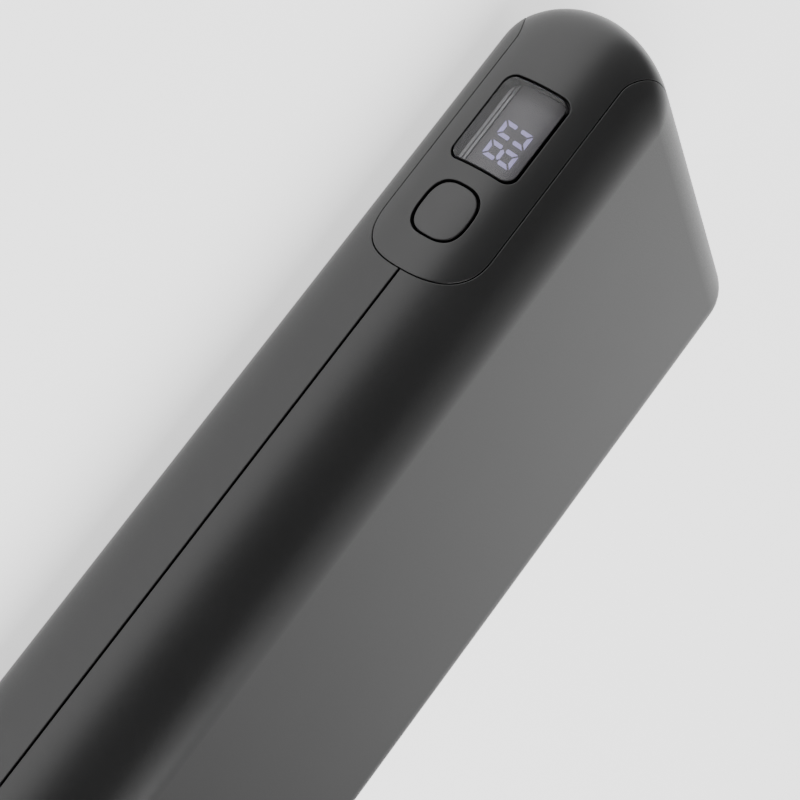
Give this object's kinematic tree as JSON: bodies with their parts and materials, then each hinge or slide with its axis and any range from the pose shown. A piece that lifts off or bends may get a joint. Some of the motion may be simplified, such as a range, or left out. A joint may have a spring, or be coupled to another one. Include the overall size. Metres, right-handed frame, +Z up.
{
  "type": "power bank",
  "caption": "Flat battery pack with rounded sides, a lit charge display, a push button and output sockets in an end cap.",
  "frame": {"origin": "centre of the lower flat face", "axes": "+Z up through the thickness, +X along the case away from the sockets, -Y towards the display side"},
  "size_m": [0.148, 0.072, 0.028],
  "materials": {
    "shell": "fine matte grain",
    "cap": "satin",
    "window": "smoked, glossy",
    "button": "satin",
    "dark_plastic": "moulded",
    "light_plastic": "moulded",
    "circuit_board": "solder mask",
    "display_face": "matte",
    "lit_digits": "glowing",
    "gold_contact": "plated",
    "socket_steel": "plated",
    "ferrite": "sintered",
    "can_aluminium": "smooth",
    "cell_pouch": "laminated foil",
    "tape": "adhesive",
    "red_wire": "silicone",
    "black_wire": "silicone",
    "foam": "open cell"
  },
  "bodies": {
    "case": {"top_shell": "shell", "bottom_shell": "shell", "end_cap": "cap", "display_window": "window", "tact_switch_body": "dark_plastic", "display_board": "circuit_board", "display_module": "display_face", "display_digits": "lit_digits", "light_shield": "dark_plastic", "board_link_pins": "gold_contact", "main_board": "circuit_board", "usb_a_shell_1": "socket_steel", "usb_a_shell_2": "socket_steel", "usb_a_tongue_1": "light_plastic", "usb_a_tongue_2": "light_plastic", "usb_a_contacts_1": "gold_contact", "usb_a_contacts_2": "gold_contact", "usb_c_shell": "socket_steel", "usb_c_tongue": "dark_plastic", "usb_c_contacts": "gold_contact", "power_inductors": "ferrite", "output_capacitors": "can_aluminium", "controller_chips": "dark_plastic", "power_mosfets": "dark_plastic", "board_screws": "socket_steel", "upper_cell": "cell_pouch", "lower_cell": "cell_pouch", "cell_tape": "tape", "cell_tabs": "socket_steel", "positive_lead": "red_wire", "negative_lead": "black_wire", "thermistor": "dark_plastic", "upper_foam_pad": "foam", "lower_foam_pad": "foam"},
    "button": {"power_button": "button"},
    "switch_plunger": {"tact_switch_plunger": "light_plastic"}
  },
  "joints": [
    {"name": "button_press", "type": "slide", "parent": "case", "child": "button", "axis": [0, 1, 0], "range_m": [0, 0.0004], "stiffness_N_per_m": 300},
    {"name": "plunger_press", "type": "slide", "parent": "case", "child": "switch_plunger", "axis": [0, 1, 0], "range_m": [0, 0.0004]}
  ],
  "couplings": [
    {"joint": "plunger_press", "follows": "button_press", "ratio": 1}
  ]
}
